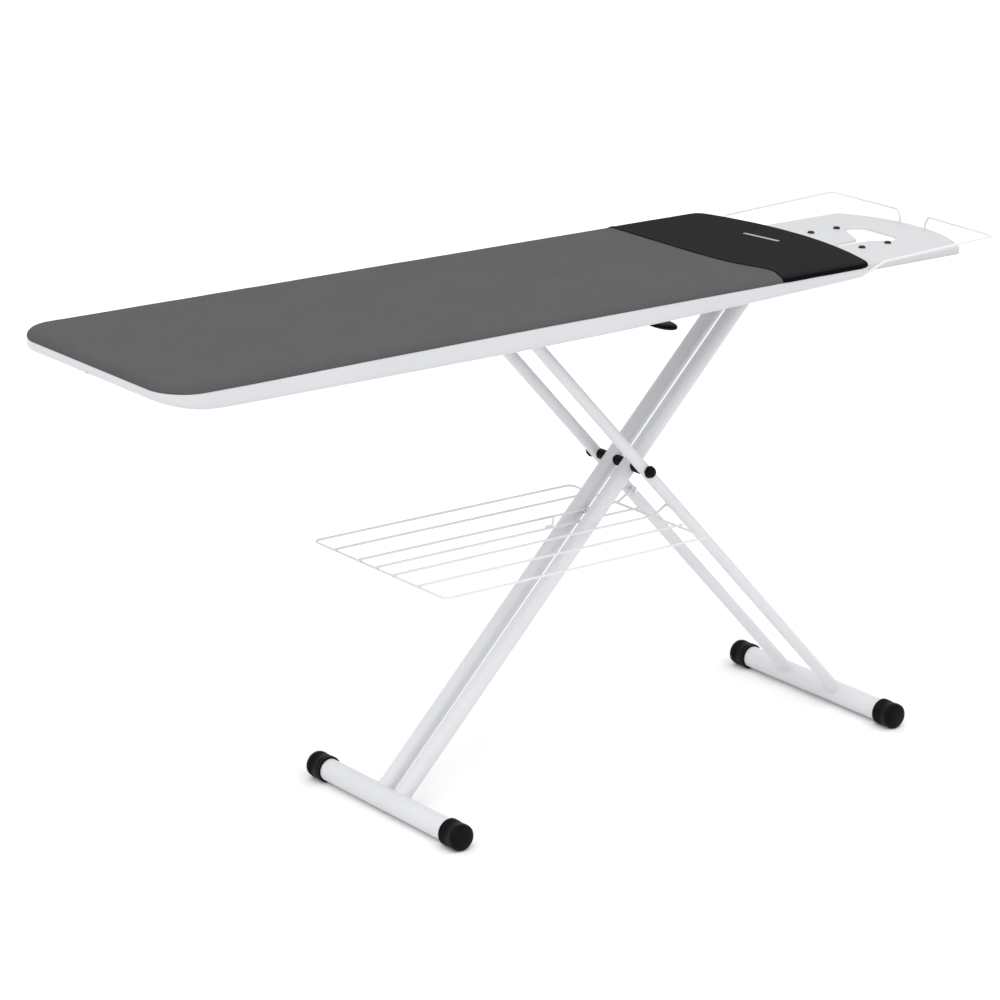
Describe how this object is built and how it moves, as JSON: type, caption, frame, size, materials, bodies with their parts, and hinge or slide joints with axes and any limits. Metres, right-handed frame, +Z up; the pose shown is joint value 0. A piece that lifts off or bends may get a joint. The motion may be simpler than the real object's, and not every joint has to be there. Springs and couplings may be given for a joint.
{
  "type": "ironing board",
  "caption": "Free-standing ironing board with crossed folding tube legs, a padded cloth-covered top, an iron rest with wire guard and a swinging wire laundry rack.",
  "frame": {"origin": "on the floor, under the middle of the outline", "axes": "+X along the board from its plain end to the iron rest, +Y away from the person who irons, +Z up"},
  "size_m": [1.693, 0.43, 0.852],
  "materials": {
    "white_paint": "satin powder coat",
    "zinc_steel": "zinc-plated",
    "black_plastic": "fine-grained moulding",
    "black_rubber": "smooth",
    "foam": "felted foam",
    "grey_cloth": "plain-woven cotton",
    "black_cloth": "heat-resistant cloth"
  },
  "bodies": {
    "board": {"board_rim": "white_paint", "board_deck": "white_paint", "foam_pad": "foam", "grey_cover": "grey_cloth", "black_end_cover": "black_cloth", "deck_stiffener_far": "white_paint", "deck_stiffener_near": "white_paint", "slide_rail_far": "white_paint", "slide_rail_near": "white_paint", "height_ratchet": "zinc_steel", "leg_bracket": "white_paint", "leg_hinge_axle": "zinc_steel", "nose_rivets": "zinc_steel", "rod_clips": "white_paint", "lever_spring": "zinc_steel", "iron_rest_plate": "white_paint", "iron_rest_bumpers": "black_rubber", "iron_rest_arm_far": "white_paint", "iron_rest_arm_near": "white_paint", "iron_rest_spacers": "white_paint", "iron_rest_screws": "zinc_steel", "guard_wire": "white_paint", "guard_clips": "white_paint"},
    "inner_legs": {"inner_leg_far": "white_paint", "inner_leg_near": "white_paint", "left_foot_bar": "white_paint", "left_foot_cap_far": "black_plastic", "left_foot_cap_near": "black_plastic", "leg_hinge_bushes": "black_plastic", "pivot_axle": "zinc_steel", "pivot_spacers": "black_plastic", "centre_spacer": "black_plastic", "pivot_end_caps": "black_plastic", "rack_rest_pin": "zinc_steel"},
    "outer_legs": {"outer_leg_far": "white_paint", "outer_leg_near": "white_paint", "right_foot_bar": "white_paint", "right_foot_cap_far": "black_plastic", "right_foot_cap_near": "black_plastic", "pivot_bushes": "black_plastic", "slide_bushes": "black_plastic", "rack_studs": "zinc_steel"},
    "slide_carriage": {"slide_axle": "zinc_steel", "slide_shoe_far": "black_plastic", "slide_shoe_near": "black_plastic", "pawl_spring": "zinc_steel"},
    "lock_pawl": {"lock_pawl": "zinc_steel"},
    "release_lever": {"release_rod": "zinc_steel", "release_blade": "zinc_steel", "release_lever": "black_plastic"},
    "laundry_rack": {"rack_end_bar_left": "white_paint", "rack_end_bar_right": "white_paint", "rack_side_wires": "white_paint", "rack_wires": "white_paint", "rack_hook_wires": "white_paint", "rack_hanger": "white_paint"}
  },
  "joints": [
    {"name": "leg_fold", "type": "hinge", "parent": "board", "child": "inner_legs", "pos_m": [0.46986, 0, 0.811], "axis": [0, 1, 0], "range_deg": [-6, 40.7]},
    {"name": "scissor_pivot", "type": "hinge", "parent": "inner_legs", "child": "outer_legs", "pos_m": [0.184, 0, 0.513], "axis": [0, 1, 0], "range_deg": [-81.5, 12.1]},
    {"name": "slide_turn", "type": "hinge", "parent": "outer_legs", "child": "slide_carriage", "pos_m": [-0.10186, 0, 0.811], "axis": [0, 1, 0], "range_deg": [-6.1, 40.8]},
    {"name": "pawl_swing", "type": "hinge", "parent": "slide_carriage", "child": "lock_pawl", "pos_m": [-0.10186, 0, 0.811], "axis": [0, 1, 0], "range_deg": [-0.5, 10]},
    {"name": "lever_press", "type": "hinge", "parent": "board", "child": "release_lever", "pos_m": [0.12, -0.045, 0.799], "axis": [-1, 0, 0], "range_deg": [0, 7], "stiffness_Nm_per_rad": 0.6, "springref_deg": -14.32},
    {"name": "rack_hinge", "type": "hinge", "parent": "outer_legs", "child": "laundry_rack", "pos_m": [0.25594, 0, 0.438], "axis": [0, 1, 0], "range_deg": [-6.1, 40.8]}
  ],
  "couplings": [
    {"joint": "scissor_pivot", "follows": "leg_fold", "ratio": -2},
    {"joint": "slide_turn", "follows": "leg_fold", "ratio": 1},
    {"joint": "rack_hinge", "follows": "leg_fold", "ratio": 1},
    {"joint": "pawl_swing", "follows": "lever_press", "ratio": 1.357}
  ]
}
